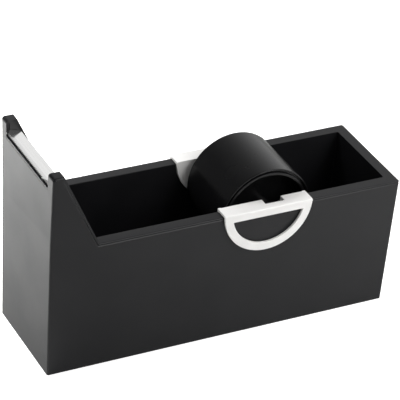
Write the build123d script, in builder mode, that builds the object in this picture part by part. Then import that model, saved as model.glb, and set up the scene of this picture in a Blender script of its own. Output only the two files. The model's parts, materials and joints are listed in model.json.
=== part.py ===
"""Desk dispenser for wide packing tape: a double-walled tub with a cutter tower, a reel and two white clips.

The origin is the centre of the footprint on the desk. +X runs from the cutter end to the far end of the tub,
+Z is up and the near side of the tub is -Y. All sizes are in millimetres and degrees.
"""
from math import cos, hypot, radians, sin, tan
import os

from build123d import *

os.makedirs("parts", exist_ok=True)

# Tub, outer form
overall_length = 295.8      # from the tips of the teeth to the rim at the other end
rim_width = 90.3            # across the outer edges of the rim
rim_height = 110.5
tower_height = 175.3
skirt_gap = 0.8             # daylight under the lower edge of the casing
end_draft = 1.3             # lean of each end wall, degrees
side_draft = 0.6            # lean of each side wall up to the rim, degrees
tower_flare = 2.5           # lean of the ears above the rim, inside and outside, degrees
flare_start = 8.0           # where that lean starts, above the rim
flare_round = 300.0         # the soft bend between the two leans
tower_flat_top = 8.9        # level top of the ears, along X
slant_run = 31.8            # from the flat top down to the rim, along X
corner_round = 1.6
tower_nose_round = 2.4

# Walls
rim_wall = 9.2              # outer face to inner face, at the rim
cutter_end_wall = 7.1       # the same for the wall that carries the blade
casing_skin = 2.4
tray_skin = 2.4
flange = 1.8                # rim, slant and tower top, which the tray lays over the casing
joint_chamfer = 0.4         # shadow line under the flange
rim_edge_round = 0.5
assembly_gap = 0.15         # between mouldings that slip into each other
cut_reach = 1.0             # how far a cut runs past the faces that it opens
floor_top = 20.0            # the inside floor of the tub
bin_corner_round = 1.5
ear_rise = 12.5             # the ears above the end wall between them

# Underside
foot_height = 2.0
foot_recess = 1.0
foot_radius = 9.0
foot_edge = 0.4
foot_inset_x = 14.0
foot_inset_y = 15.0
plate_thickness = 3.0
plate_ledge = 1.6           # ribs inside the casing that the plate pulls against
plate_ledge_height = 2.0
boss_radius = 4.2
screw_radius = 1.5
screw_hole_gap = 0.06
screw_length = 11.0
screw_head_radius = 2.9
screw_head_height = 1.7
driver_slot_width = 0.8
driver_slot_length = 3.4
driver_slot_depth = 0.6
screw_inset_x = 17.5        # the outer screws, from each end of the footprint
screw_row_y = 14.0
ballast_height = 10.0
ballast_corner_round = 3.0
ballast_edge = 0.8
ballast_gap = 8.0           # from the middle of the tub to each block
ballast_end_gap = 31.15     # from each block to the end of the tub
ballast_side_gap = 3.93     # from each block to the inside of the tub's walls
fence_wall = 1.6
fence_height = 3.0
hold_down_gap = 0.3

# Cutter
blade_thickness = 0.6
blade_slope = 15.0          # degrees, down towards the reel
blade_overhang = 1.5        # the tips of the teeth, in front of the top of the tower
blade_tip_rise = 6.5        # above the end wall
blade_lip = 4.0
blade_end_gap = 0.4         # to each ear
tooth_pitch = 2.2
tooth_depth = 1.6
tooth_end_gap = 5.0         # from each end of the row of teeth to the end of the blade
blade_corner_length = 4.2   # the front corners cut off, along the row of teeth
blade_corner_depth = 3.4    # and back from it
holder_setback = 3.4        # the front face of the holder, behind the tips
holder_leg_drop = 12.0
holder_leg_thickness = 2.4
holder_screw_y = 22.0
holder_screw_drop = 8.0
holder_screw_length = 8.0

# Clips
clip_offset = 8.0           # the middle of the clip, from the reel towards the cutter
clip_radius = 37.1
clip_plate = 1.8
clip_seat_gap = 0.1         # between the plate and the rim
ring_width = 6.9
ring_bar = 6.9              # top of the clip to the straight edge of the finger hole
ring_thickness = 2.2
ring_standoff = 0.2         # to the widest part of the wall
ring_edge_round = 0.5
leg_thickness = 2.0
leg_proud = 0.93            # the face turned to the reel, in front of the wall
leg_rim_width = 2.6
leg_rim_height = 0.5
clip_edge_round = 1.2
seat_gap = 0.3              # all round the leg in its recess

# Reel
reel_setback = 107.15       # the axle, from the end of the tub
reel_drop = 15.0            # the axle, under the rim
reel_radius = 37.8
drum_end_gap = 5.75         # between the drum and each leg
sleeve_wall = 1.6
sleeve_edge = 0.5
cap_ring_wall = 3.6
cap_ring_depth = 14.0
cap_web_recess = 11.0
cap_web = 2.0
cap_edge = 0.7
cap_fit_gap = 0.05
hub_radius = 8.0
hub_proud = 2.4             # past the end of the sleeve
spoke_count = 6
spoke_thickness = 1.6
spoke_height = 7.0
axle_radius = 4.0
axle_edge = 0.5
axle_fit_gap = 0.05
journal_slot = 16.0
journal_gap = 0.3
journal_collar_radius = 11.0
journal_end_wall = 2.2
journal_side_gap = 0.2      # between each collar and the leg beside it
hub_side_gap = 0.3          # between each hub and the collar beside it
pocket_depth = 5.07         # for the tips of the journals, into each wall
pocket_skin = 1.1

# Sizes that follow from those above
half_length = overall_length / 2
half_width = rim_width / 2
inner_half_width = half_width - rim_wall
tower_x = -half_length + blade_overhang
slant_top_x = tower_x + tower_flat_top
slant_foot_x = slant_top_x + slant_run
end_wall_top = tower_height - ear_rise
flare_z = rim_height + flare_start
bin_back_x = tower_x + (tower_height - rim_height) * tan(radians(end_draft)) + cutter_end_wall
bin_front_x = half_length - rim_wall
floor_bottom = floor_top - tray_skin
plate_bottom = foot_height - foot_recess
plate_top = plate_bottom + plate_thickness
clip_top = rim_height + clip_seat_gap + clip_plate
reel_x = half_length - reel_setback
reel_z = rim_height - reel_drop
clip_centre_x = reel_x - clip_offset
leg_face_y = inner_half_width - leg_proud
reel_length = 2 * (leg_face_y - drum_end_gap)
pocket_end_y = inner_half_width + pocket_depth
journal_tip_y = pocket_end_y - journal_gap
ballast_length = half_length - ballast_gap - ballast_end_gap
ballast_width = 2 * (inner_half_width - ballast_side_gap)

# How shapes are cut, chosen and placed
far_away = overall_length   # past everything, for a cut that is open on one side
along_axis = 0.95           # an edge whose unit tangent has this much of an axis counts as parallel to it
steepest_top = 0.3          # Z of the unit normal of the steepest face that still counts as a top
standing = (Align.CENTER, Align.CENTER, Align.MIN)
upwards = (Align.CENTER, Align.MIN)


def end_x(z):
    """X of the outer face of the tower's end wall at height z."""
    return tower_x + (tower_height - z) * tan(radians(end_draft))


def front_x(z):
    """X of the outer face of the other end wall at height z."""
    return half_length - (rim_height - z) * tan(radians(end_draft))


def side_y(z):
    """Half the outer width at height z."""
    straight = min(z, flare_z) - rim_height
    flared = max(z - flare_z, 0.0)
    return half_width + straight * tan(radians(side_draft)) + flared * tan(radians(tower_flare))


def ear_y(z):
    """Half the distance between the inner faces at height z."""
    return inner_half_width + max(z - flare_z, 0.0) * tan(radians(tower_flare))


def slant_x(z, lowered=0.0):
    """X of the slanted edge at height z, for a top surface that lies lower by that much, square to itself."""
    rise = tower_height - rim_height
    run = slant_top_x - slant_foot_x
    return slant_foot_x + (z - rim_height) * run / rise - lowered * hypot(rise, run) / rise


def tub_form(inset, lowered, bottom, corner=0.0, nose=0.0):
    """The closed outer form of tub and tower: walls set in by inset, top surfaces lowered, down to bottom."""
    low_top = rim_height - lowered
    high_top = tower_height - lowered
    outline = [
        (end_x(bottom) + inset, bottom),
        (front_x(bottom) - inset, bottom),
        (front_x(low_top) - inset, low_top),
        (slant_x(low_top, lowered), low_top),
        (slant_x(high_top, lowered), high_top),
        (end_x(high_top) + inset, high_top),
    ]
    section = [
        (-side_y(bottom) + inset, bottom),
        (side_y(bottom) - inset, bottom),
        (side_y(flare_z) - inset, flare_z),
        (side_y(high_top) - inset, high_top),
        (-side_y(high_top) + inset, high_top),
        (-side_y(flare_z) + inset, flare_z),
    ]
    with BuildPart() as form:
        with BuildSketch(Plane.XZ) as side_view:
            with BuildLine():
                Polyline(*outline, close=True)
            make_face()
            if nose:
                fillet(side_view.vertices().group_by(Axis.Y)[-1].sort_by(Axis.X)[0], radius=nose)
        extrude(amount=rim_width, both=True)
        with BuildSketch(Plane.YZ) as end_view:
            with BuildLine():
                Polyline(*section, close=True)
            make_face()
            fillet(end_view.vertices().group_by(Axis.Y)[1], radius=flare_round)
        extrude(amount=far_away, both=True, mode=Mode.INTERSECT)
        if corner:
            upright = form.edges().filter_by(lambda edge: abs(edge.tangent_at(0.5).Z) > along_axis)
            fillet(upright, radius=corner)
    return form.part


def top_outer_edges(part):
    """The outside edges of a tub form's rim, slants and flat tower top, without the creases across it."""
    tops = part.faces().filter_by(lambda face: face.normal_at().Z > steepest_top).edges()
    lengthways = tops.filter_by(lambda edge: abs(edge.tangent_at(0.5).Y) < along_axis)
    across = tops.filter_by(Axis.Y)
    across_ends = across.filter_by(lambda edge: not tower_x + flange < edge.center().X < half_length - flange)
    return lengthways + across_ends


def block(x_range, y_range, z_range):
    """A plain block between two X, two Y and two Z values."""
    with BuildPart() as piece:
        with BuildSketch(Plane.XY.offset(z_range[0])):
            with Locations(((x_range[0] + x_range[1]) / 2, (y_range[0] + y_range[1]) / 2)):
                Rectangle(x_range[1] - x_range[0], y_range[1] - y_range[0])
        extrude(amount=z_range[1] - z_range[0])
    return piece.part


def between_ears(outwards, x_range, z_range):
    """The space inside the tub and between the ears, its sides moved outwards, between two X and two Z."""
    foot_y = inner_half_width + outwards
    top_z = tower_height + cut_reach
    top_y = ear_y(top_z) + outwards
    with BuildPart() as space:
        with BuildSketch(Plane.YZ.offset(x_range[0])) as section:
            with BuildLine():
                Polyline(
                    (-foot_y, 0),
                    (foot_y, 0),
                    (foot_y, flare_z),
                    (top_y, top_z),
                    (-top_y, top_z),
                    (-foot_y, flare_z),
                    close=True,
                )
            make_face()
            fillet(section.vertices().group_by(Axis.Y)[1], radius=flare_round)
        extrude(amount=x_range[1] - x_range[0])
        add(block(x_range, (-rim_width, rim_width), z_range), mode=Mode.INTERSECT)
    return space.part


def half_disc(radius, y_range, top=clip_top):
    """The lower half of a disc about the clip's centre, between two Y values."""
    with BuildPart() as piece:
        with BuildSketch(Plane.XZ.offset(-y_range[1])):
            with Locations((clip_centre_x, top)):
                Circle(radius)
                Rectangle(2 * radius, radius, align=upwards, mode=Mode.SUBTRACT)
        extrude(amount=y_range[1] - y_range[0])
    return piece.part


def axle_slot(width, y_range):
    """A slot for the reel's axle ends, round at the bottom and open at the top, between two Y values."""
    with BuildPart() as piece:
        with BuildSketch(Plane.XZ.offset(-y_range[1])):
            with Locations((reel_x, reel_z)):
                Circle(width / 2)
                Rectangle(width, clip_top, align=upwards)
        extrude(amount=y_range[1] - y_range[0])
    return piece.part


ballast_centres = [side * (ballast_gap + ballast_length / 2) for side in (-1, 1)]
screw_columns = (end_x(0) + screw_inset_x, 0.0, front_x(0) - screw_inset_x)
screw_places = [(x, y) for x in screw_columns for y in (-screw_row_y, screw_row_y)]
screw_hole_radius = screw_radius + screw_hole_gap
holder_screw_z = end_wall_top - holder_screw_drop
holder_screw_rows = (-holder_screw_y, holder_screw_y)

# Outer casing: the four outer walls, open above and below
with BuildPart() as outer_casing:
    add(tub_form(0.0, flange, skirt_gap, corner=corner_round))
    chamfer(top_outer_edges(outer_casing.part), length=joint_chamfer)
    add(tub_form(casing_skin, -flange, -flange), mode=Mode.SUBTRACT)
    add(between_ears(0.0, (-far_away, bin_back_x), (end_wall_top - flange, far_away)), mode=Mode.SUBTRACT)
    with BuildSketch(Plane.XY.offset(plate_top)):
        with Locations(((end_x(plate_top) + front_x(plate_top)) / 2, 0)):
            ledge_length = front_x(plate_top) - end_x(plate_top) - casing_skin
            ledge_breadth = 2 * side_y(plate_top) - casing_skin
            Rectangle(ledge_length, ledge_breadth)
            ledge_cut = casing_skin + 2 * plate_ledge
            Rectangle(ledge_length - ledge_cut, ledge_breadth - ledge_cut, mode=Mode.SUBTRACT)
    extrude(amount=plate_ledge_height)
outer_casing.part.label = "outer_casing"
export_step(outer_casing.part, "parts/outer_casing.step")

# Space inside the tub and over the end wall
with BuildPart() as tub_space:
    add(between_ears(0.0, (bin_back_x, bin_front_x), (floor_top, end_wall_top)))
    upright = tub_space.edges().filter_by(lambda edge: abs(edge.tangent_at(0.5).Z) > along_axis)
    fillet(upright, radius=bin_corner_round)
    fillet(tub_space.faces().sort_by(Axis.Z)[0].edges(), radius=bin_corner_round)
    add(between_ears(0.0, (-far_away, bin_front_x), (end_wall_top, far_away)))

# Flange over the tops of the walls, with its outer edges rounded
with BuildPart() as top_band:
    add(tub_form(0.0, 0.0, skirt_gap, corner=corner_round, nose=tower_nose_round))
    rim_edges = top_outer_edges(top_band.part)
    fillet(rim_edges.filter_by(lambda edge: edge.center().Z < rim_height + cut_reach), radius=rim_edge_round)
    add(tub_form(-cut_reach, flange, -flange), mode=Mode.SUBTRACT)

# Flange over the end wall between the ears
with BuildPart() as end_ledge:
    add(tub_form(0.0, 0.0, skirt_gap))
    ledge_z = (end_wall_top - flange, end_wall_top)
    add(between_ears(0.0, (-far_away, bin_back_x), ledge_z), mode=Mode.INTERSECT)

# Inner tray: the bin, its floor, the ears and the flanges that cover the top of the walls
with BuildPart() as inner_tray:
    tray_x = (bin_back_x - tray_skin, bin_front_x + tray_skin)
    add(between_ears(tray_skin, tray_x, (floor_bottom, far_away)))
    add(between_ears(tray_skin, (-far_away, bin_back_x), (end_wall_top - flange, far_away)))
    for side in (-1, 1):
        leg_back = leg_face_y + leg_thickness + seat_gap / 2
        backing = sorted((side * inner_half_width, side * (leg_back + tray_skin / 2)))
        add(half_disc(clip_radius + seat_gap + tray_skin, backing))
        pocket_outer = sorted((side * inner_half_width, side * (pocket_end_y + pocket_skin)))
        add(axle_slot(journal_slot + 2 * tray_skin, pocket_outer))
    add(tub_form(casing_skin + assembly_gap, 0.0, skirt_gap), mode=Mode.INTERSECT)
    with Locations(*[Pos(x, y, plate_top + assembly_gap) for x, y in screw_places]):
        Cylinder(boss_radius, floor_bottom - plate_top, align=standing)
    with BuildSketch(Plane.XY.offset(plate_top + ballast_height + hold_down_gap)):
        with Locations(*[(x + side * ballast_length / 4, 0) for x in ballast_centres for side in (-1, 1)]):
            Rectangle(tray_skin, ballast_width)
    extrude(until=Until.NEXT)
    add(top_band.part)
    add(end_ledge.part)
    add(tub_space.part, mode=Mode.SUBTRACT)
    for side in (-1, 1):
        recess = sorted((side * (inner_half_width - cut_reach), side * leg_back))
        add(half_disc(clip_radius + seat_gap, recess), mode=Mode.SUBTRACT)
        pocket = sorted((side * (inner_half_width - cut_reach), side * pocket_end_y))
        add(axle_slot(journal_slot, pocket), mode=Mode.SUBTRACT)
    with Locations(*[Pos(x, y, plate_top) for x, y in screw_places]):
        Cylinder(screw_hole_radius, screw_length, align=standing, mode=Mode.SUBTRACT)
    with Locations(*[Location((bin_back_x, y, holder_screw_z), (0, 90, 0)) for y in holder_screw_rows]):
        Cylinder(screw_hole_radius, 3 * tray_skin, mode=Mode.SUBTRACT)
inner_tray.part.label = "inner_tray"
export_step(inner_tray.part, "parts/inner_tray.step")

# Base plate: closes the tub from below and carries the ballast and the feet
foot_places = [
    (x, y)
    for x in (end_x(0) + foot_inset_x, front_x(0) - foot_inset_x)
    for y in (-side_y(0) + foot_inset_y, side_y(0) - foot_inset_y)
]
with BuildPart() as base_plate:
    add(tub_form(casing_skin + assembly_gap, 0.0, skirt_gap))
    split(bisect_by=Plane.XY.offset(plate_top), keep=Keep.BOTTOM)
    split(bisect_by=Plane.XY.offset(plate_bottom), keep=Keep.TOP)
    with BuildSketch(Plane.XY.offset(plate_top)):
        with Locations(*[(x, 0) for x in ballast_centres]):
            fence_length = ballast_length + 2 * (fence_wall + assembly_gap)
            fence_breadth = ballast_width + 2 * (fence_wall + assembly_gap)
            Rectangle(fence_length, fence_breadth)
            Rectangle(fence_length - 2 * fence_wall, fence_breadth - 2 * fence_wall, mode=Mode.SUBTRACT)
    extrude(amount=fence_height)
    with BuildSketch(Plane.XY.offset(plate_bottom)):
        with Locations(*foot_places):
            Circle(foot_radius + assembly_gap)
    extrude(amount=foot_recess, mode=Mode.SUBTRACT)
    with Locations(*[Pos(x, y, plate_bottom) for x, y in screw_places]):
        Cylinder(screw_hole_radius, plate_thickness, align=standing, mode=Mode.SUBTRACT)
        sink_radius = screw_head_radius + screw_hole_gap
        Cone(sink_radius, screw_hole_radius, screw_head_height, align=standing, mode=Mode.SUBTRACT)
base_plate.part.label = "base_plate"
export_step(base_plate.part, "parts/base_plate.step")

# Countersunk screws through the plate into the bosses of the tray
with BuildPart() as base_screws:
    with Locations(*[Pos(x, y, plate_bottom) for x, y in screw_places]):
        Cone(screw_head_radius, screw_radius, screw_head_height, align=standing)
        Cylinder(screw_radius, screw_length, align=standing)
        Box(driver_slot_width, driver_slot_length, 2 * driver_slot_depth, mode=Mode.SUBTRACT)
base_screws.part.label = "base_screws"
export_step(base_screws.part, "parts/base_screws.step")

# Feet
for (x, y), name in zip(foot_places, ("cutter_end_near", "cutter_end_far", "rear_end_near", "rear_end_far")):
    with BuildPart() as foot:
        with BuildSketch():
            with Locations((x, y)):
                Circle(foot_radius)
        extrude(amount=foot_height)
        chamfer(foot.faces().sort_by(Axis.Z)[0].edges(), length=foot_edge)
    foot.part.label = f"{name}_foot"
    export_step(foot.part, f"parts/{name}_foot.step")

# Ballast
for x, name in zip(ballast_centres, ("cutter_end_ballast", "rear_end_ballast")):
    with BuildPart() as ballast:
        with BuildSketch(Plane.XY.offset(plate_top)):
            with Locations((x, 0)):
                RectangleRounded(ballast_length, ballast_width, ballast_corner_round)
        extrude(amount=ballast_height)
        chamfer(ballast.faces().sort_by(Axis.Z)[-1].edges(), length=ballast_edge)
    ballast.part.label = name
    export_step(ballast.part, f"parts/{name}.step")

# Blade holder: a sloped bar on the end wall with a leg down its inner face
slope = radians(blade_slope)
blade_tip_z = end_wall_top + blade_tip_rise
blade_tip_x = -half_length
blade_end_y = ear_y(blade_tip_z) - blade_end_gap


def under_blade(distance):
    """The point on the underside of the blade that lies this far behind the tips of the teeth, as X and Z."""
    return (
        blade_tip_x + distance * cos(slope) - blade_thickness * sin(slope),
        blade_tip_z - distance * sin(slope) - blade_thickness * cos(slope),
    )


holder_back_x = bin_back_x + assembly_gap + holder_leg_thickness
holder_bottom = end_wall_top - holder_leg_drop
with BuildPart() as blade_holder:
    front_under = under_blade(holder_setback)
    back_reach = (holder_back_x - under_blade(0)[0]) / cos(slope)
    back_under = under_blade(back_reach)
    with BuildSketch(Plane.XZ):
        with BuildLine():
            Polyline(
                front_under,
                back_under,
                (holder_back_x, holder_bottom),
                (bin_back_x + assembly_gap, holder_bottom),
                (bin_back_x + assembly_gap, end_wall_top),
                (front_under[0], end_wall_top),
                close=True,
            )
        make_face()
    extrude(amount=half_width, both=True)
    holder_space = between_ears(-assembly_gap, (-far_away, far_away), (0, far_away))
    add(holder_space, mode=Mode.INTERSECT)
    for side in (-1, 1):
        corner_start = inner_half_width - bin_corner_round - assembly_gap
        corner = sorted((side * half_width, side * corner_start))
        leg_z = (holder_bottom - cut_reach, end_wall_top)
        add(block((-half_length, holder_back_x + cut_reach), corner, leg_z), mode=Mode.SUBTRACT)
    with Locations(*[Location((holder_back_x, y, holder_screw_z), (0, 90, 0)) for y in holder_screw_rows]):
        Cylinder(screw_hole_radius, 3 * holder_leg_thickness, mode=Mode.SUBTRACT)
blade_holder.part.label = "blade_holder"
export_step(blade_holder.part, "parts/blade_holder.step")

# Cutter blade: strip steel with a serrated front edge and its back edge bent down behind the holder
with BuildPart() as cutter_blade:
    lip_x = holder_back_x + assembly_gap
    lip_reach = (lip_x + blade_thickness - blade_tip_x) / cos(slope)
    lip_top = (blade_tip_x + lip_reach * cos(slope), blade_tip_z - lip_reach * sin(slope))
    lip_inner_z = blade_tip_z - (lip_x - blade_tip_x) * tan(slope) - blade_thickness / cos(slope)
    with BuildSketch(Plane.XZ):
        with BuildLine():
            Polyline(
                (blade_tip_x, blade_tip_z),
                lip_top,
                (lip_top[0], lip_top[1] - blade_lip),
                (lip_x, lip_top[1] - blade_lip),
                (lip_x, lip_inner_z),
                under_blade(0),
                close=True,
            )
        make_face()
    extrude(amount=half_width, both=True)
    add(between_ears(-blade_end_gap, (-far_away, far_away), (0, far_away)), mode=Mode.INTERSECT)
    tooth_count = int(2 * (blade_end_y - tooth_end_gap) / tooth_pitch)
    gullet_rows = [(index - (tooth_count - 1) / 2) * tooth_pitch for index in range(tooth_count)]
    with BuildSketch(Plane.XY.offset(blade_tip_z - blade_lip)):
        for y in gullet_rows:
            with BuildLine():
                Polyline(
                    (blade_tip_x - cut_reach, y - tooth_pitch / 2),
                    (blade_tip_x, y - tooth_pitch / 2),
                    (blade_tip_x + tooth_depth, y),
                    (blade_tip_x, y + tooth_pitch / 2),
                    (blade_tip_x - cut_reach, y + tooth_pitch / 2),
                    close=True,
                )
            make_face()
        for side in (-1, 1):
            with BuildLine():
                Polyline(
                    (blade_tip_x - cut_reach, side * (blade_end_y - blade_corner_length)),
                    (blade_tip_x, side * (blade_end_y - blade_corner_length)),
                    (blade_tip_x + blade_corner_depth, side * blade_end_y),
                    (blade_tip_x + blade_corner_depth, side * half_width),
                    (blade_tip_x - cut_reach, side * half_width),
                    close=True,
                )
            make_face()
    extrude(amount=2 * blade_lip, mode=Mode.SUBTRACT)
cutter_blade.part.label = "cutter_blade"
export_step(cutter_blade.part, "parts/cutter_blade.step")

# Pan-head screws that hold the blade holder to the end wall
with BuildPart() as holder_screws:
    with Locations(*[Location((holder_back_x, y, holder_screw_z), (0, 90, 0)) for y in holder_screw_rows]):
        Cylinder(screw_head_radius, screw_head_height, align=standing)
        Cylinder(screw_radius, holder_screw_length, align=(Align.CENTER, Align.CENTER, Align.MAX))
        with Locations((0, 0, screw_head_height)):
            Box(driver_slot_width, driver_slot_length, 2 * driver_slot_depth, mode=Mode.SUBTRACT)
            Box(driver_slot_length, driver_slot_width, 2 * driver_slot_depth, mode=Mode.SUBTRACT)
holder_screws.part.label = "holder_screws"
export_step(holder_screws.part, "parts/holder_screws.step")

# Clip: a plate over the rim, a half-round finger ring outside and a slotted half-round leg inside
ring_outer_y = half_width + ring_standoff + ring_thickness
with BuildPart() as near_clip:
    with BuildSketch(Plane.XY.offset(clip_top - clip_plate)):
        with Locations((clip_centre_x, -(ring_outer_y + leg_face_y) / 2)):
            Rectangle(2 * clip_radius, ring_outer_y - leg_face_y)
    extrude(amount=clip_plate)
    with BuildSketch(Plane.XZ.offset(half_width + ring_standoff)):
        with Locations((clip_centre_x, clip_top)):
            Circle(clip_radius)
            Rectangle(2 * clip_radius, clip_radius, align=upwards, mode=Mode.SUBTRACT)
        with BuildSketch(Plane.XZ.offset(half_width + ring_standoff), mode=Mode.SUBTRACT):
            with Locations((clip_centre_x, clip_top)):
                Circle(clip_radius - ring_width)
            with Locations((clip_centre_x, clip_top - ring_bar)):
                Rectangle(2 * clip_radius, clip_radius + ring_bar, align=upwards, mode=Mode.SUBTRACT)
    extrude(amount=ring_thickness)
    add(half_disc(clip_radius, (-leg_face_y - leg_thickness, -leg_face_y)))
    with BuildSketch(Plane.XZ.offset(leg_face_y - leg_rim_height)):
        with Locations((clip_centre_x, clip_top)):
            Circle(clip_radius)
            Circle(clip_radius - leg_rim_width, mode=Mode.SUBTRACT)
            Rectangle(2 * clip_radius, clip_radius, align=upwards, mode=Mode.SUBTRACT)
    extrude(amount=leg_rim_height)
    add(axle_slot(journal_slot, (-pocket_end_y, -leg_face_y + cut_reach)), mode=Mode.SUBTRACT)
    plate_edge = near_clip.edges().filter_by(Axis.X).group_by(Axis.Z)[-1].sort_by(Axis.Y)[0]
    fillet(plate_edge, radius=clip_edge_round)
    ring_edges = near_clip.faces().sort_by(Axis.Y)[0].edges()
    fillet(ring_edges.filter_by(lambda edge: edge.center().Z < clip_top - clip_plate), radius=ring_edge_round)
near_clip.part.label = "near_clip"
export_step(near_clip.part, "parts/near_clip.step")

with BuildPart() as far_clip:
    mirror(near_clip.part, about=Plane.XZ)
far_clip.part.label = "far_clip"
export_step(far_clip.part, "parts/far_clip.step")

# Reel axle: a plain rod with a moulded journal on each end
collar_outer_y = leg_face_y - journal_side_gap
hub_end_y = reel_length / 2 + hub_proud
collar_inner_y = hub_end_y + hub_side_gap
rod_end_y = journal_tip_y - journal_end_wall
with BuildPart() as reel_axle:
    with BuildSketch(Plane.XZ.offset(-rod_end_y)):
        with Locations((reel_x, reel_z)):
            Circle(axle_radius)
    extrude(amount=2 * rod_end_y)
    chamfer(reel_axle.edges().filter_by(GeomType.CIRCLE), length=axle_edge)
reel_axle.part.label = "reel_axle"
export_step(reel_axle.part, "parts/reel_axle.step")

with BuildPart() as near_journal:
    with BuildSketch(Plane.XZ.offset(collar_inner_y)):
        with Locations((reel_x, reel_z)):
            Circle(journal_collar_radius)
    extrude(amount=collar_outer_y - collar_inner_y)
    with BuildSketch(Plane.XZ.offset(collar_outer_y)):
        with Locations((reel_x, reel_z)):
            Circle(journal_slot / 2 - journal_gap)
            Rectangle(journal_slot - 2 * journal_gap, journal_slot / 2, align=upwards)
    extrude(amount=journal_tip_y - collar_outer_y)
    with BuildSketch(Plane.XZ.offset(collar_inner_y)):
        with Locations((reel_x, reel_z)):
            Circle(axle_radius + axle_fit_gap)
    extrude(amount=rod_end_y + assembly_gap - collar_inner_y, mode=Mode.SUBTRACT)
near_journal.part.label = "near_journal"
export_step(near_journal.part, "parts/near_journal.step")

with BuildPart() as far_journal:
    mirror(near_journal.part, about=Plane.XZ)
far_journal.part.label = "far_journal"
export_step(far_journal.part, "parts/far_journal.step")

# Drum: a thin sleeve closed by two caps with hubs that turn on the axle
with BuildPart() as drum_sleeve:
    with BuildSketch(Plane.XZ.offset(-reel_length / 2)):
        with Locations((reel_x, reel_z)):
            Circle(reel_radius)
            Circle(reel_radius - sleeve_wall, mode=Mode.SUBTRACT)
    extrude(amount=reel_length)
    chamfer(drum_sleeve.edges().filter_by(GeomType.CIRCLE), length=sleeve_edge)
drum_sleeve.part.label = "drum_sleeve"
export_step(drum_sleeve.part, "parts/drum_sleeve.step")

cap_radius = reel_radius - sleeve_wall - cap_fit_gap
with BuildPart() as near_drum_cap:
    with BuildSketch(Plane.XZ.offset(reel_length / 2)):
        with Locations((reel_x, reel_z)):
            Circle(cap_radius)
            Circle(cap_radius - cap_ring_wall, mode=Mode.SUBTRACT)
    extrude(amount=-cap_ring_depth)
    chamfer(near_drum_cap.faces().sort_by(Axis.Y)[0].edges().filter_by(GeomType.CIRCLE), length=cap_edge)
    with BuildSketch(Plane.XZ.offset(reel_length / 2 - cap_web_recess)):
        with Locations((reel_x, reel_z)):
            Circle(cap_radius - cap_ring_wall / 2)
    extrude(amount=-cap_web)
    with BuildSketch(Plane.XZ.offset(hub_end_y)):
        with Locations((reel_x, reel_z)):
            Circle(hub_radius)
    extrude(amount=-(hub_proud + cap_ring_depth))
    with BuildSketch(Plane.XZ.offset(reel_length / 2 - cap_web_recess - cap_web)):
        with Locations((reel_x, reel_z)):
            with PolarLocations(0, spoke_count):
                Rectangle(cap_radius - cap_ring_wall / 2, spoke_thickness, align=(Align.MIN, Align.CENTER))
    extrude(amount=-spoke_height)
    with BuildSketch(Plane.XZ.offset(hub_end_y)):
        with Locations((reel_x, reel_z)):
            Circle(axle_radius + axle_fit_gap)
    extrude(amount=-reel_length / 2, mode=Mode.SUBTRACT)
near_drum_cap.part.label = "near_drum_cap"
export_step(near_drum_cap.part, "parts/near_drum_cap.step")

with BuildPart() as far_drum_cap:
    mirror(near_drum_cap.part, about=Plane.XZ)
far_drum_cap.part.label = "far_drum_cap"
export_step(far_drum_cap.part, "parts/far_drum_cap.step")
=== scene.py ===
"""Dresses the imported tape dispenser: materials for every moulding and metal part, finer meshes where the eye
looks for them, and a pale studio with the camera at the photograph's view point.

The object's lengths are written in millimetres and turned to metres by mm(), the studio's are in metres, and
angles are in degrees.
"""
import json
import math

import bmesh
import bpy
from mathutils import Matrix, Vector


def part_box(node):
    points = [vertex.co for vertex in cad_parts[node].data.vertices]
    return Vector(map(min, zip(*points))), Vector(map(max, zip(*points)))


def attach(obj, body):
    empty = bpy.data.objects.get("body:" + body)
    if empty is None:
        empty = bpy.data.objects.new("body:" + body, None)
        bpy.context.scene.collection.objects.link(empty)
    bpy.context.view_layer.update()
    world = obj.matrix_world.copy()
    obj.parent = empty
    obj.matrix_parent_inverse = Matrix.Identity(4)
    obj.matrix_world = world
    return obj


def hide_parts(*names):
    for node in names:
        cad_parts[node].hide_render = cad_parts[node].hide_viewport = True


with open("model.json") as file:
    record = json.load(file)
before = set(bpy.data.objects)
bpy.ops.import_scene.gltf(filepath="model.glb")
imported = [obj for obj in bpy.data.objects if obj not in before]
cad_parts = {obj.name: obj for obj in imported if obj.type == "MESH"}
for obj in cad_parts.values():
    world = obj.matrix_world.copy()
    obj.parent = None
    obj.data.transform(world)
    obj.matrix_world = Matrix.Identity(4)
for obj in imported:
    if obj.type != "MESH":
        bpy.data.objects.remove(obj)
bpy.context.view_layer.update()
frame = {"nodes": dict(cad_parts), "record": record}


def mm(length):
    """Millimetres as metres."""
    return length / 1000.0


# ---------------------------------------------------------------- materials


def srgb(code):
    """A hex colour such as #1a2b3c as a linear colour with full alpha."""
    parts = [int(code[start:start + 2], 16) / 255 for start in (1, 3, 5)]
    return (*[part / 12.92 if part <= 0.04045 else ((part + 0.055) / 1.055) ** 2.4 for part in parts], 1.0)


def per_length(size):
    """The texture scale at which one cell of a pattern is this many millimetres wide."""
    return 1.0 / mm(size)


def per_band(size):
    """The scale of a wave texture at which its bands come back after this many millimetres."""
    waves_at_scale_one = 20 / math.tau
    return 1.0 / (waves_at_scale_one * mm(size))


def add(tree, kind, sockets=None, **settings):
    """Adds a node with its settings; each socket gets a plain value or is linked to another node's output."""
    node = tree.nodes.new(kind)
    for name, value in settings.items():
        setattr(node, name, value)
    for socket, value in (sockets or {}).items():
        if isinstance(value, bpy.types.NodeSocket):
            tree.links.new(value, node.inputs[socket])
        else:
            node.inputs[socket].default_value = value
    return node


def start_material(name):
    """An empty node material and its object coordinates."""
    material = bpy.data.materials.new(name)
    material.use_nodes = True
    tree = material.node_tree
    tree.nodes.clear()
    place = add(tree, "ShaderNodeTexCoord").outputs["Object"]
    return material, tree, place


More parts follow.
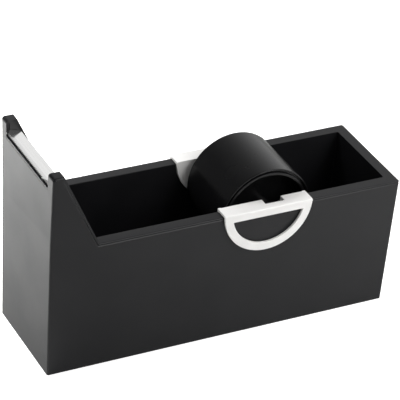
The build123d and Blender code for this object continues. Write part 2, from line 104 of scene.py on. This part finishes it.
def end_material(tree, shader):
    """Joins the finished shader to the material's output."""
    add(tree, "ShaderNodeOutputMaterial", {"Surface": shader.outputs["BSDF"]})


def moulded_black_abs():
    """ABS moulded in a spark-eroded tool: deep black, with a fine even grain that reflects like satin."""
    grain_width = 0.7       # drawn coarser than the real 0.15 mm, which is too fine to show
    grain_depth = 0.03
    flow_width = 38.0       # soft clouds that the plastic leaves as it flows
    material, tree, place = start_material("moulded_black_abs")
    grain = add(tree, "ShaderNodeTexNoise", {"Vector": place, "Scale": per_length(grain_width),
                                             "Detail": 2.0})
    flow = add(tree, "ShaderNodeTexNoise", {"Vector": place, "Scale": per_length(flow_width),
                                            "Detail": 3.0})
    tint = add(tree, "ShaderNodeValToRGB", {"Fac": flow.outputs["Fac"]})
    tint.color_ramp.elements[0].position = 0.35
    tint.color_ramp.elements[0].color = srgb("#141416")
    tint.color_ramp.elements[1].position = 0.65
    tint.color_ramp.elements[1].color = srgb("#18181a")
    gloss = add(tree, "ShaderNodeMapRange", {"Value": flow.outputs["Fac"], "From Min": 0.3, "From Max": 0.7,
                                             "To Min": 0.36, "To Max": 0.42})
    bump = add(tree, "ShaderNodeBump", {"Height": grain.outputs["Fac"], "Strength": 0.25,
                                        "Distance": mm(grain_depth)})
    end_material(tree, add(tree, "ShaderNodeBsdfPrincipled", {
        "Base Color": tint.outputs["Color"], "Roughness": gloss.outputs["Result"],
        "Normal": bump.outputs["Normal"], "IOR": 1.46, "Specular IOR Level": 0.34}))
    return material


def plain_black_abs():
    """The same ABS from a plain tool, for the parts below and behind: smoother, with faint flow marks."""
    mark_spacing = 18.85
    material, tree, place = start_material("plain_black_abs")
    marks = add(tree, "ShaderNodeTexWave", {"Vector": place, "Scale": per_band(mark_spacing),
                                            "Distortion": 9.0, "Detail": 2.0})
    tint = add(tree, "ShaderNodeValToRGB", {"Fac": marks.outputs["Fac"]})
    tint.color_ramp.elements[0].color = srgb("#121214")
    tint.color_ramp.elements[1].color = srgb("#1a1a1c")
    gloss = add(tree, "ShaderNodeMapRange", {"Value": marks.outputs["Fac"], "To Min": 0.28, "To Max": 0.38})
    end_material(tree, add(tree, "ShaderNodeBsdfPrincipled", {
        "Base Color": tint.outputs["Color"], "Roughness": gloss.outputs["Result"], "IOR": 1.5}))
    return material


def gloss_white_abs():
    """White ABS from a polished tool: a clean white with a soft gloss and the faintest moulding ripple."""
    ripple_width = 14.0
    ripple_depth = 0.08
    material, tree, place = start_material("gloss_white_abs")
    ripple = add(tree, "ShaderNodeTexNoise", {"Vector": place, "Scale": per_length(ripple_width),
                                              "Detail": 2.0})
    tint = add(tree, "ShaderNodeValToRGB", {"Fac": ripple.outputs["Fac"]})
    tint.color_ramp.elements[0].color = srgb("#eae9e7")
    tint.color_ramp.elements[1].color = srgb("#f0efed")
    gloss = add(tree, "ShaderNodeMapRange", {"Value": ripple.outputs["Fac"], "To Min": 0.26, "To Max": 0.34})
    bump = add(tree, "ShaderNodeBump", {"Height": ripple.outputs["Fac"], "Strength": 0.2,
                                        "Distance": mm(ripple_depth)})
    end_material(tree, add(tree, "ShaderNodeBsdfPrincipled", {
        "Base Color": tint.outputs["Color"], "Roughness": gloss.outputs["Result"],
        "Normal": bump.outputs["Normal"], "IOR": 1.5}))
    return material


def satin_black_drum():
    """Polystyrene moulded on a turned core: satin black, with very faint rings round the drum."""
    cloud_width = 22.0
    ring_spacing = 1.885    # drawn coarser than the real turning marks, which are too fine to show
    ring_depth = 0.02
    material, tree, place = start_material("satin_black_drum")
    cloud = add(tree, "ShaderNodeTexNoise", {"Vector": place, "Scale": per_length(cloud_width),
                                             "Detail": 3.0})
    tint = add(tree, "ShaderNodeValToRGB", {"Fac": cloud.outputs["Fac"]})
    tint.color_ramp.elements[0].color = srgb("#0b0b0c")
    tint.color_ramp.elements[1].color = srgb("#111112")
    gloss = add(tree, "ShaderNodeMapRange", {"Value": cloud.outputs["Fac"], "From Min": 0.3, "From Max": 0.7,
                                             "To Min": 0.22, "To Max": 0.28})
    rings = add(tree, "ShaderNodeTexWave", {"Vector": place, "Scale": per_band(ring_spacing),
                                            "Distortion": 0.6}, bands_direction="Y")
    bump = add(tree, "ShaderNodeBump", {"Height": rings.outputs["Fac"], "Strength": 0.08,
                                        "Distance": mm(ring_depth)})
    end_material(tree, add(tree, "ShaderNodeBsdfPrincipled", {
        "Base Color": tint.outputs["Color"], "Roughness": gloss.outputs["Result"],
        "Normal": bump.outputs["Normal"], "IOR": 1.5, "Specular IOR Level": 0.28}))
    return material


def black_nylon():
    """Nylon bearing blocks: black, a little waxy."""
    cloud_width = 5.0
    material, tree, place = start_material("black_nylon")
    cloud = add(tree, "ShaderNodeTexNoise", {"Vector": place, "Scale": per_length(cloud_width),
                                             "Detail": 3.0})
    tint = add(tree, "ShaderNodeValToRGB", {"Fac": cloud.outputs["Fac"]})
    tint.color_ramp.elements[0].color = srgb("#141415")
    tint.color_ramp.elements[1].color = srgb("#1d1d1f")
    gloss = add(tree, "ShaderNodeMapRange", {"Value": cloud.outputs["Fac"], "To Min": 0.4, "To Max": 0.5})
    end_material(tree, add(tree, "ShaderNodeBsdfPrincipled", {
        "Base Color": tint.outputs["Color"], "Roughness": gloss.outputs["Result"], "IOR": 1.53}))
    return material


def drawn_steel_rod():
    """Bright drawn steel: grey metal with fine lines along the rod."""
    line_width = 0.6        # drawn coarser than the real lines, which are too fine to show
    line_stretch = 0.02     # the pattern's scale along the rod, against 1 across it
    material, tree, place = start_material("drawn_steel_rod")
    stretched = add(tree, "ShaderNodeMapping", {"Vector": place, "Scale": (1.0, line_stretch, 1.0)})
    lines = add(tree, "ShaderNodeTexNoise", {"Vector": stretched.outputs["Vector"],
                                             "Scale": per_length(line_width)})
    tint = add(tree, "ShaderNodeValToRGB", {"Fac": lines.outputs["Fac"]})
    tint.color_ramp.elements[0].color = srgb("#b4b5b8")
    tint.color_ramp.elements[1].color = srgb("#d2d3d5")
    gloss = add(tree, "ShaderNodeMapRange", {"Value": lines.outputs["Fac"], "To Min": 0.2, "To Max": 0.36})
    end_material(tree, add(tree, "ShaderNodeBsdfPrincipled", {
        "Base Color": tint.outputs["Color"], "Roughness": gloss.outputs["Result"], "Metallic": 1.0}))
    return material


def bright_cutter_strip():
    """Bright rolled stainless strip: near mirror, with faint rolling lines along its length."""
    line_width = 0.8        # drawn coarser than the real lines, which are too fine to show
    line_depth = 0.01
    line_stretch = 0.03     # the pattern's scale along the strip, against 1 across it
    material, tree, place = start_material("bright_cutter_strip")
    stretched = add(tree, "ShaderNodeMapping", {"Vector": place, "Scale": (1.0, line_stretch, 1.0)})
    lines = add(tree, "ShaderNodeTexNoise", {"Vector": stretched.outputs["Vector"],
                                             "Scale": per_length(line_width), "Detail": 3.0})
    tint = add(tree, "ShaderNodeValToRGB", {"Fac": lines.outputs["Fac"]})
    tint.color_ramp.elements[0].color = srgb("#dcdcdb")
    tint.color_ramp.elements[1].color = srgb("#ebebea")
    gloss = add(tree, "ShaderNodeMapRange", {"Value": lines.outputs["Fac"], "To Min": 0.08, "To Max": 0.2})
    bump = add(tree, "ShaderNodeBump", {"Height": lines.outputs["Fac"], "Strength": 0.1,
                                        "Distance": mm(line_depth)})
    end_material(tree, add(tree, "ShaderNodeBsdfPrincipled", {
        "Base Color": tint.outputs["Color"], "Roughness": gloss.outputs["Result"],
        "Normal": bump.outputs["Normal"], "Metallic": 1.0}))
    return material


def zinc_plated_steel():
    """Zinc plated screws: dull silver with a faint cloudy colour."""
    cloud_width = 1.5
    material, tree, place = start_material("zinc_plated_steel")
    cloud = add(tree, "ShaderNodeTexNoise", {"Vector": place, "Scale": per_length(cloud_width),
                                             "Detail": 3.0})
    tint = add(tree, "ShaderNodeValToRGB", {"Fac": cloud.outputs["Fac"]})
    tint.color_ramp.elements[0].color = srgb("#9a9c9f")
    tint.color_ramp.elements[1].color = srgb("#b9babb")
    gloss = add(tree, "ShaderNodeMapRange", {"Value": cloud.outputs["Fac"], "To Min": 0.28, "To Max": 0.45})
    end_material(tree, add(tree, "ShaderNodeBsdfPrincipled", {
        "Base Color": tint.outputs["Color"], "Roughness": gloss.outputs["Result"], "Metallic": 1.0}))
    return material


def painted_cast_iron():
    """Sand-cast iron under thin grey paint: rough, with soft pits."""
    pit_width = 1.2
    pit_depth = 0.25
    material, tree, place = start_material("painted_cast_iron")
    sand = add(tree, "ShaderNodeTexNoise", {"Vector": place, "Scale": per_length(pit_width), "Detail": 4.0})
    tint = add(tree, "ShaderNodeValToRGB", {"Fac": sand.outputs["Fac"]})
    tint.color_ramp.elements[0].color = srgb("#4a4b4d")
    tint.color_ramp.elements[1].color = srgb("#636466")
    bump = add(tree, "ShaderNodeBump", {"Height": sand.outputs["Fac"], "Strength": 0.6,
                                        "Distance": mm(pit_depth)})
    end_material(tree, add(tree, "ShaderNodeBsdfPrincipled", {
        "Base Color": tint.outputs["Color"], "Roughness": 0.7, "Normal": bump.outputs["Normal"],
        "IOR": 1.5}))
    return material


def closed_cell_foam():
    """Closed-cell rubber foam: matt black with a skin of small cells."""
    cell_width = 0.8
    cell_depth = 0.15
    material, tree, place = start_material("closed_cell_foam")
    cells = add(tree, "ShaderNodeTexVoronoi", {"Vector": place, "Scale": per_length(cell_width)})
    tint = add(tree, "ShaderNodeValToRGB", {"Fac": cells.outputs["Distance"]})
    tint.color_ramp.elements[0].color = srgb("#1b1b1b")
    tint.color_ramp.elements[1].color = srgb("#2b2b2b")
    bump = add(tree, "ShaderNodeBump", {"Height": cells.outputs["Distance"], "Strength": 0.5,
                                        "Distance": mm(cell_depth)})
    end_material(tree, add(tree, "ShaderNodeBsdfPrincipled", {
        "Base Color": tint.outputs["Color"], "Roughness": 0.88, "Normal": bump.outputs["Normal"],
        "IOR": 1.5}))
    return material


# Each material slot of the record and what it is made of.
finishes = {
    "black_abs": moulded_black_abs(),
    "black_abs_plain": plain_black_abs(),
    "white_abs": gloss_white_abs(),
    "drum_black": satin_black_drum(),
    "black_nylon": black_nylon(),
    "axle_steel": drawn_steel_rod(),
    "blade_steel": bright_cutter_strip(),
    "screw_steel": zinc_plated_steel(),
    "ballast_iron": painted_cast_iron(),
    "foot_foam": closed_cell_foam(),
}

for part in frame["record"]["subparts"]:
    for slot in frame["nodes"][part["node"]].material_slots:
        slot.material = finishes[part["material_slot"]]

# ---------------------------------------------------------------- new pieces


def finish_piece(name, shape, body, slot, node, flat_area=30.0):
    """Turns a bmesh into a piece that rides on a body, stands for a node and wears the finish of a slot.

    Faces larger than flat_area square millimetres keep their flat shading against the small ones round them.
    """
    soft_turn, soft_turn_beside_flat = 35.0, 4.0
    flat = flat_area * mm(1) ** 2
    bmesh.ops.recalc_face_normals(shape, faces=shape.faces)
    for edge in shape.edges:
        turn = math.degrees(edge.calc_face_angle(math.pi))
        beside_flat = any(face.calc_area() > flat for face in edge.link_faces)
        edge.smooth = turn < (soft_turn_beside_flat if beside_flat else soft_turn)
    for face in shape.faces:
        face.smooth = True
    mesh = bpy.data.meshes.new(name)
    shape.to_mesh(mesh)
    shape.free()
    mesh.materials.append(finishes[slot])
    piece = bpy.data.objects.new(name, mesh)
    bpy.context.scene.collection.objects.link(piece)
    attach(piece, body)
    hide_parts(node)


def merged_copy(node):
    """A bmesh of a CAD node with its doubles merged and its flat faces joined."""
    shape = bmesh.new()
    shape.from_mesh(frame["nodes"][node].data)
    bmesh.ops.remove_doubles(shape, verts=shape.verts, dist=mm(0.002))
    bmesh.ops.dissolve_limit(shape, angle_limit=math.radians(0.6), verts=shape.verts, edges=shape.edges)
    return shape


def edges_with_room(shape, radius):
    """The sharp edges of a shape beside which there is room to round them by this radius in millimetres."""
    sharp_turn = math.radians(25)
    room = mm(2.2 * radius)
    sharp = [edge for edge in shape.edges if edge.calc_face_angle(0.0) > sharp_turn]
    return [edge for edge in sharp if edge.calc_length() > room
            and all(other.calc_length() > room for end in edge.verts for other in end.link_edges)]


def soften_moulding(name, node, body, slot, radius, shape_first=None):
    """A moulded part with the small radius that its edges leave the tool with, inside the box of its node."""
    shape = merged_copy(node)
    if shape_first:
        shape_first(shape)
    bmesh.ops.bevel(shape, geom=edges_with_room(shape, radius), offset=mm(radius), offset_type="OFFSET",
                    affect="EDGES", segments=2, profile=0.5, material=-1, clamp_overlap=False)
    low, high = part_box(node)
    for end in shape.verts:
        end.co = [min(max(value, least), most) for value, least, most in zip(end.co, low, high)]
    finish_piece(name, shape, body, slot, node)


def shape_rim_edge(shape):
    """Gives the rim its full round nose and lifts its lower outer edge, which leaves a dark line below."""
    rim_top, flange, corner = mm(110.5), mm(1.8), mm(1.6)
    end_x, side_y = mm(147.9), mm(45.15)    # half the length and width over the rim
    slant_foot_x = mm(-107.5)
    old_round = mm(0.5)
    new_flange = mm(1.1)
    outer_strip = mm(0.3)                   # how far in from the outer face the lower edge is lifted
    near = mm(0.01)
    for end in shape.verts:
        x, y, z = end.co
        depth = rim_top - z
        along = max(x - (end_x - corner), 0.0)
        across = max(abs(y) - (side_y - corner), 0.0)
        reach = math.hypot(along, across)
        inward = corner - reach
        if x < slant_foot_x or reach == 0.0:
            continue
        out = Vector((along, math.copysign(across, y), 0.0)) / reach
        if -near < depth < old_round + near and inward < old_round + 3 * near:
            end.co -= out * max(inward, 0.0)
            end.co.z = rim_top - 2 * depth
        elif abs(depth - flange) < 2 * near and inward < outer_strip:
            end.co.z = rim_top - new_flange
    shape.normal_update()


soften_moulding("outer_casing_moulding", "outer_casing", "housing", "black_abs", 0.25)
soften_moulding("inner_tray_moulding", "inner_tray", "housing", "black_abs", 0.35, shape_rim_edge)
soften_moulding("near_clip_moulding", "near_clip", "near_clip", "white_abs", 0.4)
soften_moulding("far_clip_moulding", "far_clip", "far_clip", "white_abs", 0.4)

sleeve_low, sleeve_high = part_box("drum_sleeve")
drum_x = (sleeve_low[0] + sleeve_high[0]) / 2
drum_z = (sleeve_low[2] + sleeve_high[2]) / 2
drum_radius = 1000 * (sleeve_high[2] - sleeve_low[2]) / 2
drum_half = 1000 * (sleeve_high[1] - sleeve_low[1]) / 2
sleeve_wall = 1.6


def turned(outline):
    """A bmesh of a closed outline of (radius, y) in millimetres, turned about the drum's axis."""
    shape = bmesh.new()
    points = [shape.verts.new((drum_x, mm(along), drum_z + mm(radius))) for radius, along in outline]
    edges = [shape.edges.new(pair) for pair in zip(points, points[1:] + points[:1])]
    bmesh.ops.spin(shape, geom=points + edges, cent=(drum_x, 0.0, drum_z), axis=(0.0, 1.0, 0.0),
                   angle=math.radians(360), steps=128, use_merge=True)
    return shape


def rounded_corner(centre, radius, start, steps=4):
    """Points of a quarter of a circle about centre, from the start angle onwards, in (radius, y)."""
    angles = [math.radians(start + 90 * step / steps) for step in range(steps + 1)]
    return [(centre[0] + radius * math.cos(angle), centre[1] + radius * math.sin(angle)) for angle in angles]


def turn_sleeve():
    """The sleeve: a plain tube whose ends are rounded outside and cut at an angle inside."""
    outer_round, inner_cut = 0.6, 0.6
    inner = drum_radius - sleeve_wall
    outline = [(inner, -drum_half + inner_cut), (inner + inner_cut, -drum_half)]
    outline += rounded_corner((drum_radius - outer_round, -drum_half + outer_round), outer_round, -90)
    outline += rounded_corner((drum_radius - outer_round, drum_half - outer_round), outer_round, 0)
    outline += [(inner + inner_cut, drum_half), (inner, drum_half - inner_cut)]
    finish_piece("drum_sleeve_moulding", turned(outline), "drum", "drum_black", "drum_sleeve")


def turn_cap(name, node, side):
    """A cap of the drum: a ring with a groove round it, a deep hollow, and a web with its hub and ribs.

    The outline is in (radius, depth), with the depth measured from the end of the drum towards its middle.
    """
    fit_gap = 0.05
    outer = drum_radius - sleeve_wall - fit_gap
    ring_outer, ring_inner, hub, bore = 35.0, 32.55, 8.0, 4.05
    face, groove, web_front, web_back, back, hub_face = 0.0, 1.8, 11.0, 13.0, 14.0, -2.4
    edge, hub_edge = 0.6, 0.5
    shoulder = 0.3 * edge                   # the middle point of a rounded edge, from both faces
    rib_depth, rib_thickness, rib_count = 7.0, 1.6, 6
    rib_overlap = 0.05
    outline = [(bore, hub_face), (hub - hub_edge, hub_face), (hub, hub_face + hub_edge), (hub, web_front)]
    outline += [(ring_inner, web_front), (ring_inner, edge), (ring_inner + shoulder, shoulder)]
    outline += [(ring_inner + edge, face), (ring_outer - edge, face), (ring_outer - shoulder, shoulder)]
    outline += [(ring_outer, edge), (ring_outer, groove), (outer, groove), (outer, back), (ring_inner, back)]
    outline += [(ring_inner, web_back), (hub, web_back), (hub, back), (bore, back)]
    shape = turned([(radius, side * (drum_half - depth)) for radius, depth in outline])
    rib_reach = ring_inner - hub + 2 * rib_overlap
    rib_y = side * (drum_half - web_back - rib_depth / 2 + rib_overlap)
    middle = Matrix.Translation((mm(hub + rib_reach / 2 - rib_overlap), 0.0, 0.0))
    size = Matrix.Diagonal((mm(rib_reach), mm(rib_depth), mm(rib_thickness), 1.0))
    place = Matrix.Translation((drum_x, mm(rib_y), drum_z))
    for rib in range(rib_count):
        turn = Matrix.Rotation(math.radians(360 * rib / rib_count), 4, "Y")
        bmesh.ops.create_cube(shape, size=1.0, matrix=place @ turn @ middle @ size)
    finish_piece(name, shape, "drum", "drum_black", node)


turn_sleeve()
turn_cap("near_drum_cap_moulding", "near_drum_cap", -1)
turn_cap("far_drum_cap_moulding", "far_drum_cap", 1)


def grind_cutter():
    """The cutter strip: a serrated front edge ground thin from above, then a flat, a bend and a lip."""
    low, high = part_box("cutter_blade")
    slope = math.radians(15.0)
    thickness, lip, bend_radius = 0.6, 4.0, 0.6
    tooth_pitch, tooth_depth, tooth_end_gap = 2.2, 1.6, 5.0
    ground_width, edge_left = 3.4, 0.12     # how far back the strip is ground, and what is left at the tips
    corner_length, corner_depth = 4.2, 3.4
    least_flat = 0.02                       # behind a cut that reaches as far back as the grinding
    end = 1000 * high[1]
    tip_x, tip_z = 1000 * low[0] + thickness * math.sin(slope), 1000 * high[2]
    outer_x = 1000 * high[0]
    inner_x = outer_x - thickness
    lip_reach = (outer_x - tip_x) / math.cos(slope)
    under_reach = (inner_x - tip_x + thickness * math.sin(slope)) / math.cos(slope)
    lip_z = tip_z - lip_reach * math.sin(slope) - lip
    teeth = int(2 * (end - tooth_end_gap) / tooth_pitch)
    half_row = teeth * tooth_pitch / 2
    # Stations across the strip: y and how far back its front edge lies there.
    stations = [(-end, corner_depth), (-(end - corner_length), 0.0), (-half_row, 0.0)]
    for tooth in range(teeth):
        middle = -half_row + (tooth + 0.5) * tooth_pitch
        stations += [(middle, tooth_depth), (middle + tooth_pitch / 2, 0.0)]
    stations += [(end - corner_length, 0.0), (end, corner_depth)]

    def point(back, height):
        """The x and z of a point this far behind the tips and this far above the underside of the strip."""
        x = tip_x + back * math.cos(slope) + (height - thickness) * math.sin(slope)
        z = tip_z - back * math.sin(slope) + (height - thickness) * math.cos(slope)
        return x, z

    def section(front):
        """The closed outline of the strip where its front edge lies this far back, as x and z."""
        ramp = edge_left + (thickness - edge_left) * min(front / ground_width, 1.0)
        ground_end = max(ground_width, front + least_flat)
        outline = [point(front, 0.0), point(front, ramp), point(ground_end, thickness)]
        for angle in map(math.radians, (0, 25, 50, 75)):
            outline.append(point(lip_reach - bend_radius * (1 - math.sin(angle)),
                                 thickness - bend_radius * (1 - math.cos(angle))))
        return outline + [(outer_x, lip_z), (inner_x, lip_z), point(under_reach, 0.0)]

    shape = bmesh.new()
    rings = []
    for y, front in stations:
        points = [shape.verts.new((mm(x), mm(y), mm(z))) for x, z in section(front)]
        rings.append([shape.edges.new(pair) for pair in zip(points, points[1:] + points[:1])])
    for first, second in zip(rings, rings[1:]):
        bmesh.ops.bridge_loops(shape, edges=first + second)
    for ring in (rings[0], rings[-1]):
        bmesh.ops.contextual_create(shape, geom=ring)
    finish_piece("ground_cutter_strip", shape, "housing", "blade_steel", "cutter_blade", flat_area=0.5)


grind_cutter()

# ---------------------------------------------------------------- studio


def pale_floor():
    """Matt white paper that is lifted to pure white for the camera and keeps the object's soft shadow."""
    fibre_width = 3.0
    camera_lift = 0.7
    material, tree, place = start_material("pale_floor")
    fibre = add(tree, "ShaderNodeTexNoise", {"Vector": place, "Scale": per_length(fibre_width),
                                             "Detail": 2.0})
    tint = add(tree, "ShaderNodeValToRGB", {"Fac": fibre.outputs["Fac"]})
    tint.color_ramp.elements[0].color = srgb("#dededd")
    tint.color_ramp.elements[1].color = srgb("#e2e2e1")
    paper = add(tree, "ShaderNodeBsdfDiffuse", {"Color": tint.outputs["Color"]})
    rays = add(tree, "ShaderNodeLightPath")
    lift = add(tree, "ShaderNodeMath", {0: rays.outputs["Is Camera Ray"], 1: camera_lift},
               operation="MULTIPLY")
    glow = add(tree, "ShaderNodeEmission", {"Color": (1, 1, 1, 1), "Strength": lift.outputs["Value"]})
    both = add(tree, "ShaderNodeAddShader", {0: paper.outputs["BSDF"], 1: glow.outputs["Emission"]})
    add(tree, "ShaderNodeOutputMaterial", {"Surface": both.outputs["Shader"]})
    return material


def make_floor(radius):
    """A round sheet of paper under the object."""
    shape = bmesh.new()
    bmesh.ops.create_circle(shape, cap_ends=True, segments=96, radius=radius)
    mesh = bpy.data.meshes.new("floor")
    shape.to_mesh(mesh)
    shape.free()
    mesh.materials.append(pale_floor())
    floor = bpy.data.objects.new("floor", mesh)
    bpy.context.scene.collection.objects.link(floor)


def make_lamp(name, place, aim, size, power):
    """A rectangular soft box at place that faces aim."""
    data = bpy.data.lights.new(name, "AREA")
    data.shape = "RECTANGLE"
    data.size, data.size_y = size
    data.energy = power
    lamp = bpy.data.objects.new(name, data)
    bpy.context.scene.collection.objects.link(lamp)
    lamp.location = place
    lamp.rotation_euler = (Vector(aim) - Vector(place)).to_track_quat("-Z", "Y").to_euler()
    lamp.visible_camera = False
    return lamp


def light_floor(name, place, aim, spread, power):
    """A narrow lamp for a patch of floor that the walls mirror; it shows in no reflection itself."""
    lamp = make_lamp(name, place, aim, (0.3, 0.3), power)
    lamp.data.spread = math.radians(spread)
    lamp.visible_glossy = False


def make_world(light_level, ceiling_level, left_level):
    """Even light from all round, and a tent lit from its right for gloss to mirror.

    The camera and clear parts see plain white. Gloss sees white on the right up to a third of the way up, a
    dimmer ceiling, and a dimmer left side.
    """
    wall_top, ceiling_start = 0.36, 0.8     # heights in a direction of length 1
    left_side, right_side = -0.45, 0.35     # and how far it goes to the right
    world = bpy.data.worlds.new("studio")
    world.use_nodes = True
    tree = world.node_tree
    tree.nodes.clear()
    rays = add(tree, "ShaderNodeLightPath")
    direction = add(tree, "ShaderNodeTexCoord").outputs["Generated"]
    split = add(tree, "ShaderNodeSeparateXYZ", {"Vector": direction})
    ceiling = add(tree, "ShaderNodeMapRange", {"Value": split.outputs["Z"], "From Min": wall_top,
                                               "From Max": ceiling_start, "To Min": 1.0,
                                               "To Max": ceiling_level})
    side = add(tree, "ShaderNodeMapRange", {"Value": split.outputs["X"], "From Min": left_side,
                                            "From Max": right_side, "To Min": left_level, "To Max": 1.0})
    tent = add(tree, "ShaderNodeMath", {0: ceiling.outputs["Result"], 1: side.outputs["Result"]},
               operation="MULTIPLY")
    glossy = add(tree, "ShaderNodeMix", {"Factor": rays.outputs["Is Glossy Ray"], "A": light_level,
                                         "B": tent.outputs["Value"]}, data_type="FLOAT")
    clear = add(tree, "ShaderNodeMath", {0: rays.outputs["Is Camera Ray"],
                                         1: rays.outputs["Is Transmission Ray"]}, operation="MAXIMUM")
    strength = add(tree, "ShaderNodeMix", {"Factor": clear.outputs["Value"], "A": glossy.outputs["Result"],
                                           "B": 1.0}, data_type="FLOAT")
    glow = add(tree, "ShaderNodeBackground", {"Color": (1, 1, 1, 1), "Strength": strength.outputs["Result"]})
    add(tree, "ShaderNodeOutputWorld", {"Surface": glow.outputs["Background"]})
    bpy.context.scene.world = world


make_floor(radius=2.2)
make_world(light_level=0.45, ceiling_level=0.3, left_level=0.15)
make_lamp("right_softbox", place=(0.8, -1.35, 1.2), aim=(0.0, 0.0, 0.1), size=(0.7, 1.5), power=17)
light_floor("back_left_floor_light", place=(-0.45, 0.5, 0.8), aim=(-0.36, 0.4, 0.0), spread=75, power=7)
light_floor("front_right_floor_light", place=(0.45, -0.4, 0.8), aim=(0.35, -0.28, 0.0), spread=60, power=1)

# The camera stands to the left of the near side, well above the rim, and leans a little to the right.
camera_place = (mm(-755.31), mm(-1353.37), mm(1072.69))
camera_turn = 29.14
camera_drop = 32.16
camera_roll = 4.86
photo_width = 400
focal_pixels = 2407.9
sensor_width = 36.0


def make_camera():
    """The photograph's view point."""
    data = bpy.data.cameras.new("photo_camera")
    data.sensor_width = sensor_width
    data.lens = focal_pixels / photo_width * sensor_width
    data.clip_start = 0.05
    data.clip_end = 20.0
    camera = bpy.data.objects.new("photo_camera", data)
    bpy.context.scene.collection.objects.link(camera)
    turn = Matrix.Rotation(math.radians(-camera_turn), 4, "Z")
    tilt = Matrix.Rotation(math.radians(90 - camera_drop), 4, "X")
    roll = Matrix.Rotation(math.radians(camera_roll), 4, "Z")
    camera.matrix_world = Matrix.Translation(camera_place) @ turn @ tilt @ roll
    bpy.context.scene.camera = camera


make_camera()
bpy.context.scene.view_settings.view_transform = "Standard"
